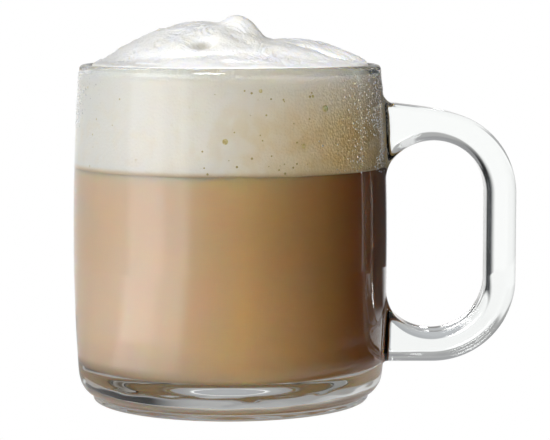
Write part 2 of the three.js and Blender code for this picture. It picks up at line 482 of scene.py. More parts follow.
flat, numbers, kept = [], [], {}
for i in range(first_row, last_row + 1):
    for j in range(-PATCH_COLUMNS, PATCH_COLUMNS + 1):
        place = np.array([[2 * math.pi * j / COLUMNS * BELLY_RADIUS, glass_section[i][1]]])
        edge = i in (first_row, last_row) or abs(j) == PATCH_COLUMNS
        if edge or (clear_of(upper_ring, place) and clear_of(lower_ring, place)):
            kept[i, j] = len(flat)
            flat.append(place[0])
            numbers.append(rows[i][j % COLUMNS])
border = [(first_row, j) for j in range(-PATCH_COLUMNS, PATCH_COLUMNS)]
border += [(i, PATCH_COLUMNS) for i in range(first_row, last_row)]
border += [(last_row, j) for j in range(PATCH_COLUMNS, -PATCH_COLUMNS, -1)]
border += [(i, -PATCH_COLUMNS) for i in range(last_row, first_row, -1)]
fixed = [(kept[a], kept[b]) for a, b in zip(border, border[1:] + border[:1])]
print("points of the patch's grid:", len(flat))

# %% [markdown]
# Blender's own triangulation fills the flat patch and keeps the border and both rings as edges. Triangles
# inside a ring would close the handle's root off, so they are left out. Each flat point stands for a point
# of the wall or of the handle, so the new triangles join the two without a seam.

# %% Stitch body and handle into one skin
for ring, ring_row in ((upper_ring, handle_rows[0]), (lower_ring, handle_rows[-1])):
    start = len(flat)
    flat.extend(ring)
    numbers.extend(ring_row)
    fixed += [(start + j, start + (j + 1) % len(ring)) for j in range(len(ring))]
result = delaunay_2d_cdt([Vector(place) for place in flat], fixed, [], 0, 1e-7)
places = np.array([tuple(place) for place in result[0]])
was = [numbers[source[0]] for source in result[3]]
middles = np.array([places[list(face)].mean(axis=0) for face in result[2]])
in_root = inside_ring(middles, upper_ring) | inside_ring(middles, lower_ring)
faces += [[was[corner] for corner in face] for face, hidden in zip(result[2], in_root) if not hidden]
glass = mesh_object("pressed_glass_mug", points, faces)

# %% [markdown]
# ## The drink
# Milky coffee is opaque, so only its skin is seen: through the glass from the side and the foot from
# below. Its solid in the CAD stops short of the wall, as solids must. Here it reaches just into the glass,
# so that no thin film of air shines between the two like a mirror.

# %% Turn the coffee
wall_z = np.linspace(COFFEE_TOP, FLOOR_HEIGHT + FLOOR_CORNER, 50)[:-1]
wall_z = np.insert(wall_z, 1, COFFEE_TOP - 0.05)
shore = float(inner_radius(COFFEE_TOP)) + INTO_WALL
coffee_section = np.vstack(
    [
        [(0, COFFEE_TOP), (shore - 1, COFFEE_TOP), (shore - 0.05, COFFEE_TOP)],
        np.column_stack([inner_radius(wall_z) + INTO_WALL, wall_z]),
        floor_section(INTO_WALL),
    ]
)
points, faces, rows = lathe(coffee_section, 160)
coffee = mesh_object("coffee_with_milk", points, faces)

# %% [markdown]
# ## The foam
# The barista spoons steamed milk foam on top: a dome with a tall peak at the back, broad mounds at both
# sides, a small curl in front with a dimple beside it. The big forms are the CAD solid's own. On a fine
# polar mesh they get the relief that a spoon and bursting bubbles leave: ridges, strokes and pores.
# A mound is its middle (x, y), its reach along and across, its turn in degrees and its height over the rim.
# The dimple is its middle, its reach along and across, and its depth.

# %% Set the foam's forms
FOAM_RISE = 4.2
CREASE = 0.4
SHOULDER = 1.4
MOUNDS = (
    (-7.0, 2.0, 28.6, 27.0, 0.0, 11.2),
    (1.7, 0.0, 11.4, 10.5, -20.0, 13.0),
    (4.0, -5.0, 28.0, 19.0, -12.0, 6.7),
    (15.5, 9.0, 22.8, 21.0, 0.0, 6.6),
    (-1.2, -9.0, 8.5, 8.0, 20.0, 7.6),
)
DIMPLE = (-7.2, -15.5, 3.1, 2.2, 2.2)
foam_edge = float(inner_radius(FOAM_CONTACT)) + INTO_WALL


# %% Work out the foam's height
def foam_form(x, y):
    """Height of the foam's big forms over the table."""
    reach = np.hypot(x, y)
    heights = [FOAM_RISE * (1 - (reach / foam_edge) ** 2)]
    for mx, my, along, across, turn, top in MOUNDS:
        cos, sin = math.cos(math.radians(turn)), math.sin(math.radians(turn))
        u = ((x - mx) * cos + (y - my) * sin) / along
        v = ((y - my) * cos - (x - mx) * sin) / across
        heights.append(top * (1 - u**2 - v**2))
    heights = np.stack(heights) / CREASE
    shape = CREASE * (np.log(np.sum(np.exp(heights - heights.max(axis=0)), axis=0)) + heights.max(axis=0))
    px, py, along, across, depth = DIMPLE
    shape -= depth * np.exp(-(((x - px) / along) ** 2) - ((y - py) / across) ** 2)
    hold = np.clip((reach - foam_edge + SHOULDER) / SHOULDER, 0, 1)
    hold = hold**2 * (3 - 2 * hold)
    return MUG_HEIGHT + shape * (1 - hold**2) + (FOAM_CONTACT - MUG_HEIGHT) * hold**2


def fractal(x, y, z, size, octaves=3):
    """Smooth fractal noise, about -1 to 1, whose largest lumps are that many millimetres."""
    places = np.column_stack([np.ravel(x), np.ravel(y), np.ravel(z)]) / size
    values = [noise.fractal(Vector(place), 1.0, 2.0, octaves) for place in places]
    return np.array(values).reshape(np.shape(x))


# %% [markdown]
# The spoon's traces come next. It drew the foam up towards the peak, which left thin strokes that run that
# way, and twisted off at the curl, which left rings behind it. A fold divides the front mound from the
# right one. The dimple has a deeper middle than the solid's. Bubbles that burst at the surface left pits
# under half a millimetre deep. All of it is fractal noise or a bell curve, in millimetres.

# %% Shape the spoon's traces
PEAK = (1.7, 0.0)
CURL = (-1.2, -9.0)
FOLD = ((9.0, 0.5), (34.0, -6.5))
FOLD_DEPTH = 1.5
FOLD_WIDTH = 1.6
STROKE = 0.3
LUMP = 0.45
LUMP_SIZE = 6.0
RING_HEIGHT = 0.2
RING_SPACING = 1.6
RING_REACH = 5.5
DIMPLE_MIDDLE = (2.3, 1.6, 1.8)


def spoon_traces(x, y):
    """Height that strokes, lumps, rings, fold and the dimple's middle add to the foam's form."""
    away = np.hypot(x - PEAK[0], y - PEAK[1])
    swept = 0.45 * fractal(x, y, 0 * x + 2, 13.0, 2)
    turn = np.arctan2(y - PEAK[1], x - PEAK[0]) + away / 30 + swept
    stroke = fractal(11 * np.cos(turn), 11 * np.sin(turn), away / 7, 1.0, 3)
    groove = np.exp(-((stroke / 0.10) ** 2))
    pressed = np.clip(0.55 + 1.6 * fractal(x, y, 0 * x + 5, 10.0, 2), 0.15, 1)
    traces = (STROKE * stroke - STROKE * groove) * pressed * np.clip(away / 12, 0, 1)
    traces += LUMP * fractal(x, y, 0 * x, LUMP_SIZE, 3) * np.clip(away / 9, 0.2, 1)
    ring = np.hypot(x - CURL[0], 1.3 * (y - CURL[1]))
    behind = np.clip(0.5 + (y - CURL[1] - 0.6 * (x - CURL[0])) / 6, 0, 1)
    rings = RING_HEIGHT * behind * np.sin(2 * math.pi * ring / RING_SPACING)
    traces += rings * np.exp(-(((ring - RING_REACH) / 2.2) ** 2))
    start, end = np.array(FOLD)
    length = np.hypot(*(end - start))
    along = ((x - start[0]) * (end - start)[0] + (y - start[1]) * (end - start)[1]) / length**2
    aside = ((x - start[0]) * (end - start)[1] - (y - start[1]) * (end - start)[0]) / length
    ends = np.clip(along / 0.15, 0, 1) * np.clip((1 - along) / 0.25, 0, 1)
    traces -= FOLD_DEPTH * ends * np.exp(-((aside / FOLD_WIDTH) ** 2))
    px, py = DIMPLE[:2]
    along, across, depth = DIMPLE_MIDDLE
    return traces - depth * np.exp(-(((x - px) / along) ** 2) - ((y - py) / across) ** 2)


# %% Sink the burst bubbles' pits
PITS = 420
SMALLEST_PIT = 0.2
LARGEST_PIT = 0.6


def burst_pits(x, y, count, seed):
    """Depth of the pits that burst bubbles left, most of them small."""
    random = np.random.default_rng(seed)
    depth = np.zeros_like(x)
    for _ in range(count):
        away = foam_edge * math.sqrt(random.random()) * 0.97
        turn = random.random() * 2 * math.pi
        radius = SMALLEST_PIT + (LARGEST_PIT - SMALLEST_PIT) * random.random() ** 3
        px, py = away * math.cos(turn), away * math.sin(turn)
        near = (np.abs(x - px) < 2) & (np.abs(y - py) < 2)
        gap = (x[near] - px) ** 2 + (y[near] - py) ** 2
        depth[near] += 0.8 * radius * np.exp(-gap / radius**2)
    return depth


# %% [markdown]
# The foam's mesh is one closed skin: rings over the top, close enough for the pits, then down the wall and
# flat over the coffee. Its top is faded into the wall's contact line, so that no relief pokes through the
# glass.

# %% Lay the rings over the top
TURNS = 600
RINGS = 146
angle = 2 * math.pi * np.arange(TURNS) / TURNS
reach = foam_edge * (np.arange(1, RINGS + 1) / RINGS) ** 0.9
ring_r, ring_a = np.meshgrid(reach, angle, indexing="ij")
top_x, top_y = ring_r * np.cos(ring_a), ring_r * np.sin(ring_a)
fade = np.clip((foam_edge - ring_r) / 2.5, 0, 1)
relief = spoon_traces(top_x, top_y) - burst_pits(top_x, top_y, PITS, seed=5)
top_z = foam_form(top_x, top_y) + relief * fade
print("the foam's top is at", top_z.max().round(1), "mm")

# %% Close the foam's skin
side_z = np.append(np.linspace(FOAM_CONTACT, COFFEE_TOP + 0.05, 14)[1:], COFFEE_TOP)
points = [(0.0, 0.0, float(foam_form(np.zeros(1), np.zeros(1))[0]))]
foam_rows = [[0] * TURNS]
for ring in range(RINGS):
    foam_rows.append(list(range(len(points), len(points) + TURNS)))
    points.extend(zip(top_x[ring], top_y[ring], top_z[ring]))
for z in side_z:
    foam_rows.append(list(range(len(points), len(points) + TURNS)))
    wall = float(inner_radius(z)) + INTO_WALL
    points.extend(zip(wall * np.cos(angle), wall * np.sin(angle), [z] * TURNS))
for radius, z in ((shore - 0.05, COFFEE_TOP), (shore - 1, COFFEE_TOP - 0.3)):
    foam_rows.append(list(range(len(points), len(points) + TURNS)))
    points.extend(zip(radius * np.cos(angle), radius * np.sin(angle), [z] * TURNS))
foam_rows.append([len(points)] * TURNS)
points.append((0.0, 0.0, COFFEE_TOP - 0.3))
faces = []
for one, two in zip(foam_rows[:-1], foam_rows[1:]):
    for j in range(TURNS):
        k = (j + 1) % TURNS
        faces.append(list(dict.fromkeys((one[j], one[k], two[k], two[j]))))
foam = mesh_object("milk_foam_head", points, faces)

# %% [markdown]
# The camera looks almost level over the dimple's front lip, so of the hollow it sees only the upper part of
# the back. A line of points from front to back through the dimple finds that place, where the foam's
# material later paints a shadow.

# %% Find the part of the dimple that shows
line_y = np.linspace(DIMPLE[1] - 6, DIMPLE[1] + 6, 121)
line_x = np.full(len(line_y), DIMPLE[0])
line_z = foam_form(line_x, line_y) + spoon_traces(line_x, line_y)
front_lip = line_z[:60].max()
back = 60 + np.argmax(line_z[60:] > front_lip + 0.6)
DIMPLE_BACK = (DIMPLE[0], float(line_y[back]), float(line_z[back]))
print("the dimple's front lip is at", round(front_lip, 1), "mm, its back at", np.round(DIMPLE_BACK, 1))

# %% [markdown]
# ## Bubbles and condensation
# Small round things in great number are scattered by one Geometry Nodes tree: it spreads points over a thin
# guide surface, more where the guide's own "amount" is high, puts a flattened ball of random size on each,
# turned to the surface, and makes them real mesh. The foam's bubbles stand against the inside of the
# glass, where each shows as a dark or yellowish dot. Water from the warm, moist air sits in droplets on the
# outside of the glass, over the foam and thickest at both edges.


# %% Add a node to a tree
def add(tree, kind, inputs=None, **settings):
    """Add a node. Its inputs are set to a value, or linked to another node's output."""
    made = tree.nodes.new(kind)
    for name, value in settings.items():
        setattr(made, name, value)
    for key, value in (inputs or {}).items():
        if isinstance(value, bpy.types.NodeSocket):
            tree.links.new(value, made.inputs[key])
        else:
            made.inputs[key].default_value = value
    return made


# %% Build the scattering tree
TREE_INPUTS = (
    ("Geometry", "Geometry"),
    ("Density", "Float"),
    ("Smallest Radius", "Float"),
    ("Largest Radius", "Float"),
    ("Size Power", "Float"),
    ("Flatness", "Float"),
    ("Seed", "Int"),
    ("Material", "Material"),
)


def scattering_tree():
    """A node group that scatters flattened balls over a guide surface."""
    group = bpy.data.node_groups.new("scatter_balls", "GeometryNodeTree")
    for name, kind in TREE_INPUTS:
        group.interface.new_socket(name, in_out="INPUT", socket_type="NodeSocket" + kind)
    group.interface.new_socket("Geometry", in_out="OUTPUT", socket_type="NodeSocketGeometry")
    given = group.nodes.new("NodeGroupInput").outputs
    amount = add(group, "GeometryNodeInputNamedAttribute", {"Name": "amount"}, data_type="FLOAT")
    covered = {0: given["Density"], 1: amount.outputs[0]}
    density = add(group, "ShaderNodeMath", covered, operation="MULTIPLY")
    spread = add(
        group,
        "GeometryNodeDistributePointsOnFaces",
        {"Mesh": given["Geometry"], "Density": density.outputs[0], "Seed": given["Seed"]},
    )
    chance = add(group, "FunctionNodeRandomValue", {"Seed": given["Seed"]}, data_type="FLOAT").outputs[1]
    skewed = add(group, "ShaderNodeMath", {0: chance, 1: given["Size Power"]}, operation="POWER")
    radius = add(
        group,
        "ShaderNodeMapRange",
        {"Value": skewed.outputs[0], "To Min": given["Smallest Radius"], "To Max": given["Largest Radius"]},
    )
    thin = add(group, "ShaderNodeMath", {0: radius.outputs[0], 1: given["Flatness"]}, operation="MULTIPLY")
    sizes = {0: radius.outputs[0], 1: radius.outputs[0], 2: thin.outputs[0]}
    scale = add(group, "ShaderNodeCombineXYZ", sizes)
    ball = add(group, "GeometryNodeMeshUVSphere", {"Segments": 7, "Rings": 5, "Radius": 1.0})
    placed = add(
        group,
        "GeometryNodeInstanceOnPoints",
        {
            "Points": spread.outputs["Points"],
            "Instance": ball.outputs["Mesh"],
            "Rotation": spread.outputs["Rotation"],
            "Scale": scale.outputs[0],
        },
    )
    real = add(group, "GeometryNodeRealizeInstances", {"Geometry": placed.outputs[0]})
    smooth = add(group, "GeometryNodeSetShadeSmooth", {"Geometry": real.outputs[0]})
    finished = add(
        group, "GeometryNodeSetMaterial", {"Geometry": smooth.outputs[0], "Material": given["Material"]}
    )
    add(group, "NodeGroupOutput", {"Geometry": finished.outputs[0]})
    return group


# %% Make a guide surface
def guide_surface(name, radius_at, heights, columns, amount):
    """A turned band round the mug's axis that carries how thickly it is covered, from nought to one."""
    angle = 2 * math.pi * np.arange(columns) / columns
    points = [(radius_at(z) * math.cos(a), radius_at(z) * math.sin(a), z) for z in heights for a in angle]
    faces = []
    for i in range(len(heights) - 1):
        for j in range(columns):
            k = (j + 1) % columns
            one, two = i * columns, (i + 1) * columns
            faces.append((one + j, one + k, two + k, two + j))
    mesh = bpy.data.meshes.new(name)
    mesh.from_pydata((np.array(points) * MM).tolist(), [], faces)
    amounts = [float(amount(math.degrees(math.atan2(x, -y)), z)) for x, y, z in points]
    mesh.attributes.new("amount", "FLOAT", "POINT").data.foreach_set("value", amounts)
    made = bpy.data.objects.new(name, mesh)
    bpy.context.scene.collection.objects.link(made)
    return made


# %% Run the tree on a guide surface
def scattered(guide, group, settings):
    """Run the tree on a guide surface and keep the result as plain mesh under the guide's name."""
    modifier = guide.modifiers.new("scatter", "NODES")
    modifier.node_group = group
    for socket in group.interface.items_tree:
        if socket.in_out == "INPUT" and socket.name in settings:
            modifier[socket.identifier] = settings[socket.name]
    bpy.context.view_layer.update()
    evaluated = guide.evaluated_get(bpy.context.evaluated_depsgraph_get())
    mesh = bpy.data.meshes.new_from_object(evaluated)
    guide.modifiers.clear()
    guide.data = mesh
    print(guide.name, sum(len(face.vertices) - 2 for face in mesh.polygons), "triangles")
    return guide


# %% [markdown]
# ## Materials
# Four helpers serve all materials. One turns a colour as a painter would name it, in sRGB hex, into the
# linear values that light is worked out in. One works a pattern's scale out from its size. One makes an
# empty material, and one lets a colour turn into another along a coordinate: for the drink's own colours,
# and for the painted light and shade on drink and foam. Coordinates are in metres here, as all of Blender's
# are.


# %% Helpers for materials
def linear(colour):
    """An sRGB hex colour as linear red, green, blue and one."""
    parts = [int(colour[i : i + 2], 16) / 255 for i in (0, 2, 4)]
    return [c / 12.92 if c <= 0.04045 else ((c + 0.055) / 1.055) ** 2.4 for c in parts] + [1.0]


def pattern_scale(size):
    """The scale of a pattern whose cells are that many millimetres across."""
    return 1 / (size * MM)


def new_material(name):
    """An empty node material: the material and its tree."""
    material = bpy.data.materials.new(name)
    material.use_nodes = True
    material.node_tree.nodes.clear()
    return material, material.node_tree


def turning(tree, value, start, end, one, two, most=1.0, soft=False):
    """A colour that turns from one to two, at most that far, while the value goes from start to end."""
    span = {"Value": value, "From Min": start, "From Max": end, "To Max": most}
    kind = "SMOOTHSTEP" if soft else "LINEAR"
    share = add(tree, "ShaderNodeMapRange", span, interpolation_type=kind)
    return add(tree, "ShaderNodeMixRGB", {0: share.outputs[0], 1: one, 2: two}).outputs[0]


# %% [markdown]
# ### Pressed soda-lime glass
# Clear glass of this kind bends light by 1.5. It is pressed in a polished mould and its lip melted smooth,
# so it is almost perfectly polished. The mould leaves a faint waviness, about nine waves to 100 mm.

# %% Glass
WAVE_SIZE = 100 / 9
glass_material, tree = new_material("pressed soda-lime glass")
place = add(tree, "ShaderNodeTexCoord").outputs["Object"]
wavy = {"Vector": place, "Scale": pattern_scale(WAVE_SIZE), "Detail": 1.0}
waves = add(tree, "ShaderNodeTexNoise", wavy)
bump = add(tree, "ShaderNodeBump", {"Height": waves.outputs["Fac"], "Strength": 0.05, "Distance": 0.0004})
shader = add(
    tree,
    "ShaderNodeBsdfPrincipled",
    {
        "Base Color": linear("fcfefd"),
        "Roughness": 0.0,
        "IOR": 1.5,
        "Transmission Weight": 1.0,
        "Normal": bump.outputs[0],
    },
)
add(tree, "ShaderNodeOutputMaterial", {"Surface": shader.outputs[0]})
glass.data.materials.append(glass_material)
print(glass_material.name, "has", len(tree.nodes), "nodes")

# %% [markdown]
# ### Milky coffee
# Coffee with a good part of milk scatters light like a thick paint: light wanders up to a centimetre
# through it, which blurs its shadows, and most of the gloss is that of the glass. Its tan is lightest at
# the left and turns darker and yellower towards the handle, which is painted shade on the side away from
# the key light, and it is a little lighter low down. Soft swirls of about 17 mm show where milk and coffee
# have not quite mixed.

# %% Coffee
SWIRL_SIZE = 100 / 6
# Painted shade: the yellower tint of the drink's side towards the handle.
SHADE_YELLOWING = (1.04, 0.97, 0.7, 1.0)
LIGHTER = (1.16, 1.18, 1.2, 1.0)
coffee_material, tree = new_material("coffee with steamed milk")
place = add(tree, "ShaderNodeTexCoord").outputs["Object"]
parts = add(tree, "ShaderNodeSeparateXYZ", {0: place}).outputs
mixing = {"Vector": place, "Scale": pattern_scale(SWIRL_SIZE), "Detail": 2.0, "Distortion": 0.6}
swirl = add(tree, "ShaderNodeTexNoise", mixing)
milky = turning(tree, swirl.outputs["Fac"], 0.0, 1.0, linear("ceb497"), linear("c8ad8f"))
# Painted shade: towards the handle the tan turns into this darker brown, on the side away from the key
# light.
painted_shade_brown = turning(tree, swirl.outputs["Fac"], 0.0, 1.0, linear("89592d"), linear("825429"))
colour = turning(tree, parts["X"], 0.004, 0.032, milky, painted_shade_brown)
# Painted shade: the side towards the handle is also tinted yellower. Low down the tan is made a little
# lighter.
for coordinate, start, end, tint in (("X", -0.012, 0.004, SHADE_YELLOWING), ("Z", 0.05, 0.018, LIGHTER)):
    span = {"Value": parts[coordinate], "From Min": start, "From Max": end}
    share = add(tree, "ShaderNodeMapRange", span)
    tinted = {0: share.outputs[0], 1: colour, 2: tint}
    colour = add(tree, "ShaderNodeMixRGB", tinted, blend_type="MULTIPLY").outputs[0]
shader = add(
    tree,
    "ShaderNodeBsdfPrincipled",
    {
        "Base Color": colour,
        "Roughness": 0.16,
        "Specular IOR Level": 0.5,
        "Subsurface Weight": 1.0,
        "Subsurface Radius": (1.0, 0.45, 0.15),
        "Subsurface Scale": 0.01,
    },
)
add(tree, "ShaderNodeOutputMaterial", {"Surface": shader.outputs[0]})
coffee.data.materials.append(coffee_material)
print(coffee_material.name, "has", len(tree.nodes), "nodes")

# %% [markdown]
# ### Milk foam
# Milk foam is air in a little milk: the whitest part of the drink, matt, and light wanders some millimetres
# through it before it comes out. That softens every shadow in it, so all of its light is scattered under
# the surface. Its bubbles are far finer than a pixel, so the bump draws them coarser, three to 2 mm.

# %% Foam: froth
FROTH_SIZE = 2 / 3
foam_material, tree = new_material("steamed milk foam")
place = add(tree, "ShaderNodeTexCoord").outputs["Object"]
parts = add(tree, "ShaderNodeSeparateXYZ", {0: place}).outputs
froth = add(tree, "ShaderNodeTexVoronoi", {"Vector": place, "Scale": pattern_scale(FROTH_SIZE)})
uneven = {"Height": froth.outputs["Distance"], "Strength": 0.3, "Distance": 0.0003}
bump = add(tree, "ShaderNodeBump", uneven)
print("froth of", round(FROTH_SIZE, 2), "mm cells")

# %% [markdown]
# Behind the glass the foam turns yellow-brown towards the handle, in soft patches a few millimetres wide:
# partly a stain of coffee and milk fat, partly painted warm shade on the side away from the key light. The
# stain is strongest low down, where the foam drains. At the far left the foam is painted greyer, which is
# painted shade. The band just under the rim has next to no stain. It is painted grey at the left, which is
# painted shade, and whiter at the right, which is painted light.

# %% Foam: the side behind the glass
PATCH_SIZE = 10 / 3
# Where the stain and the painted warm shade start towards the handle, and where they are full.
STAIN_AND_SHADE_STARTS = -0.006
STAIN_AND_SHADE_FULL = 0.03
to_handle = {"Value": parts["X"], "From Min": STAIN_AND_SHADE_STARTS, "From Max": STAIN_AND_SHADE_FULL}
across = add(tree, "ShaderNodeMapRange", to_handle)
cloudy = {"Vector": place, "Scale": pattern_scale(PATCH_SIZE), "Detail": 4.0}
cloud = add(tree, "ShaderNodeTexNoise", cloudy)
patches = {"Value": cloud.outputs["Fac"], "From Min": 0.4, "From Max": 0.62, "To Min": -0.1, "To Max": 0.1}
patchy = add(tree, "ShaderNodeMapRange", patches)
both = {0: across.outputs[0], 1: patchy.outputs[0]}
stain_and_shade = add(tree, "ShaderNodeMath", both, operation="ADD", use_clamp=True)
draining = {"Value": parts["Z"], "From Min": 0.074, "From Max": 0.087, "To Min": 1.0, "To Max": 0.1}
drained = add(tree, "ShaderNodeMapRange", draining)
both = {0: stain_and_shade.outputs[0], 1: drained.outputs[0]}
stain_and_shade = add(tree, "ShaderNodeMath", both, operation="MULTIPLY")
# Painted shade: at the far left the foam's side is greyer.
pale_with_left_shade = turning(tree, parts["X"], -0.03, STAIN_AND_SHADE_STARTS, linear("e0dfdb"), linear("f5f1e9"))
side = add(tree, "ShaderNodeMixRGB", {0: stain_and_shade.outputs[0], 1: pale_with_left_shade, 2: linear("e2ca96")}).outputs[0]
# Painted shade and painted light: under the rim the foam is grey at the left and whiter at the right.
under_rim_shade_and_light = turning(tree, parts["X"], STAIN_AND_SHADE_STARTS, STAIN_AND_SHADE_FULL, linear("c4c4c0"), linear("fffdf8"))
side = turning(tree, parts["Z"], 0.086, 0.0885, side, under_rim_shade_and_light, most=0.6, soft=True)
print("nodes with the side's colours:", len(tree.nodes))

# %% [markdown]
# Over the rim the foam is neutral, and its greys are painted light and shade. It is whitest just above the
# rim and at the right, and greyer higher up on the mounds and on the left. The upper back of the dimple,
# which the camera sees, has a painted shadow and is grey.

# %% Foam: the spooned top
# Painted light and shade on the top: whitest just above the rim and at the right, greyer higher up and at
# the left.
top = turning(tree, parts["Z"], 0.092, 0.095, linear("ffffff"), linear("dcdcda"))
top = turning(tree, parts["X"], -0.012, -0.03, top, linear("c2c2c1"))
top = turning(tree, parts["X"], 0.016, 0.032, top, linear("f2f2f2"))
# Painted shadow: the upper back of the dimple, which the camera sees, is painted grey.
in_dimple = add(
    tree,
    "ShaderNodeMapping",
    {"Vector": place, "Location": [c * MM for c in DIMPLE_BACK], "Scale": (0.0029, 0.003, 0.0015)},
    vector_type="TEXTURE",
)
from_back = add(tree, "ShaderNodeVectorMath", {0: in_dimple.outputs[0]}, operation="LENGTH")
top = turning(tree, from_back.outputs["Value"], 0.35, 1.2, linear("aeaca5"), top)
print("nodes with the top's colours:", len(tree.nodes))

# %% [markdown]
# The side turns into the top at the rim's height. In the last millimetre and a half over the coffee the
# foam is soaked and tan, which softens the line between the two.

# %% Foam: the whole
colour = turning(tree, parts["Z"], 0.0888, 0.0908, side, top, soft=True)
colour = turning(tree, parts["Z"], 0.0642, 0.0625, colour, linear("dabd92"), soft=True)
shader = add(
    tree,
    "ShaderNodeBsdfPrincipled",
    {
        "Base Color": colour,
        "Roughness": 0.6,
        "Specular IOR Level": 0.2,
        "Subsurface Weight": 1.0,
        "Subsurface Radius": (1.0, 0.9, 0.7),
        "Subsurface Scale": 0.004,
        "Normal": bump.outputs[0],
    },
)
add(tree, "ShaderNodeOutputMaterial", {"Surface": shader.outputs[0]})
foam.data.materials.append(foam_material)
print(foam_material.name, "has", len(tree.nodes), "nodes")

# %% [markdown]
# ### Bubbles and droplets
# A bubble against the glass is a thin film of milk with air behind it: darker than the froth round it,
# with the yellow of milk fat, which a large bubble's thicker film shows paler. A droplet of condensation
# is water, quite smooth but not fully clear, because the glass behind it is misted too.

# %% Film of the fine bubbles
FILM_PATCH = 2.5
bubble_material, tree = new_material("milk film of a bubble")
place = add(tree, "ShaderNodeTexCoord").outputs["Object"]
blend = add(tree, "ShaderNodeTexNoise", {"Vector": place, "Scale": pattern_scale(FILM_PATCH)})
film = turning(tree, blend.outputs["Fac"], 0.0, 1.0, linear("a39266"), linear("d8c98a"))
shader = add(tree, "ShaderNodeBsdfPrincipled", {"Base Color": film, "Roughness": 0.25})
add(tree, "ShaderNodeOutputMaterial", {"Surface": shader.outputs[0]})
print(bubble_material.name, "has", len(tree.nodes), "nodes")

# %% Water of the droplets
MIST_SIZE = 1 / 3
water_material, tree = new_material("condensed water")
place = add(tree, "ShaderNodeTexCoord").outputs["Object"]
mist = add(tree, "ShaderNodeTexNoise", {"Vector": place, "Scale": pattern_scale(MIST_SIZE)})
bump = add(tree, "ShaderNodeBump", {"Height": mist.outputs["Fac"], "Strength": 0.1, "Distance": 0.0001})
shader = add(
    tree,
    "ShaderNodeBsdfPrincipled",
    {"Roughness": 0.02, "IOR": 1.33, "Transmission Weight": 0.5, "Normal": bump.outputs[0]},
)
add(tree, "ShaderNodeOutputMaterial", {"Surface": shader.outputs[0]})
print(water_material.name, "has", len(tree.nodes), "nodes")

# %% Film of the large bubbles
LARGE_FILM_PATCH = 5 / 7
large_film, tree = new_material("milk film of a large bubble")
place = add(tree, "ShaderNodeTexCoord").outputs["Object"]
blend = add(tree, "ShaderNodeTexNoise", {"Vector": place, "Scale": pattern_scale(LARGE_FILM_PATCH)})
film = turning(tree, blend.outputs["Fac"], 0.35, 0.65, linear("cdb873"), linear("f0e5b8"))
milky_film = {"Base Color": film, "Roughness": 0.25, "Subsurface Weight": 1.0, "Subsurface Scale": 0.0006}
shader = add(tree, "ShaderNodeBsdfPrincipled", milky_film)
add(tree, "ShaderNodeOutputMaterial", {"Surface": shader.outputs[0]})
print(large_film.name, "has", len(tree.nodes), "nodes")

# %% [markdown]
# The fine bubbles come first. The foam drains downwards, so most of them are just over the coffee line,
# and more show on the side away from the window. Most are a tenth of a millimetre in radius, and a few are
# three times that.

# %% Scatter the fine bubbles
balls = scattering_tree()


def bubble_amount(azimuth, z):
    """Fine bubbles: most over the coffee line and on the side away from the window."""
    side = 0.35 + 0.65 * min(1.0, max(0.0, (azimuth + 30) / 60))
    low = math.exp(-((z - COFFEE_TOP - 1.5) / 3) ** 2)
    return side * (0.5 + 0.5 * low) * (1 if z < 85 else 0.3)


bubbles = guide_surface(
    "fine_foam_bubbles",
    lambda z: float(inner_radius(z)) + INTO_WALL - 0.02,
    np.linspace(COFFEE_TOP + 0.4, 86.5, 25),
    120,
    bubble_amount,
)
scattered(
    bubbles,
    balls,
    {
        "Density": 480000.0,
        "Smallest Radius": 0.07 * MM,
        "Largest Radius": 0.36 * MM,
        "Size Power": 8.0,
        "Flatness": 0.3,
        "Seed": 4,
        "Material": bubble_material,
    },
)

# %% [markdown]
# A few large bubbles stand pressed flat against the glass. Each has its own place in the photo, so they
# are listed, by azimuth in degrees from the camera's side towards the handle, height over the table and
# radius in millimetres. A turned ball is flattened outwards and drawn a tenth taller than wide.

# %% Set the large bubbles
LARGE_BUBBLES = (
    (-0.7, 71.6, 0.80),
    (39.0, 79.4, 0.95),
    (29.0, 70.2, 0.70),
    (12.5, 84.2, 0.60),
    (33.5, 82.6, 0.55),
    (17.6, 66.9, 0.32),
    (23.0, 71.4, 0.34),
    (48.5, 76.0, 0.40),
    (44.0, 69.5, 0.32),
)
BUBBLE_FLATNESS = 0.25
BUBBLE_TALLER = 1.1
ball_points, ball_faces, _ = lathe([(math.sin(t), math.cos(t)) for t in np.linspace(0, math.pi, 9)], 20)
points, faces = [], []
for azimuth, z, size in LARGE_BUBBLES:
    turn = math.radians(azimuth)
    outwards = Vector((math.sin(turn), -math.cos(turn), 0))
    sideways = Vector((math.cos(turn), math.sin(turn), 0))
    middle = outwards * (float(inner_radius(z)) + INTO_WALL - 0.1) + Vector((0, 0, z))
    faces += [[corner + len(points) for corner in face] for face in ball_faces]
    for u, v, w in ball_points:
        in_wall = sideways * u + Vector((0, 0, v)) * BUBBLE_TALLER
        points.append(tuple(middle + size * in_wall + outwards * BUBBLE_FLATNESS * size * w))
large_bubbles = mesh_object("large_foam_bubbles", points, faces)
large_bubbles.data.materials.append(large_film)

# %% [markdown]
# Condensation needs warm, moist air against glass, so it starts over the coffee and is thickest where the
# camera looks along the wall: at the right edge, at the left one, and under the rim on the right. It lies
# in patches. The very back has none, which keeps the piece light.


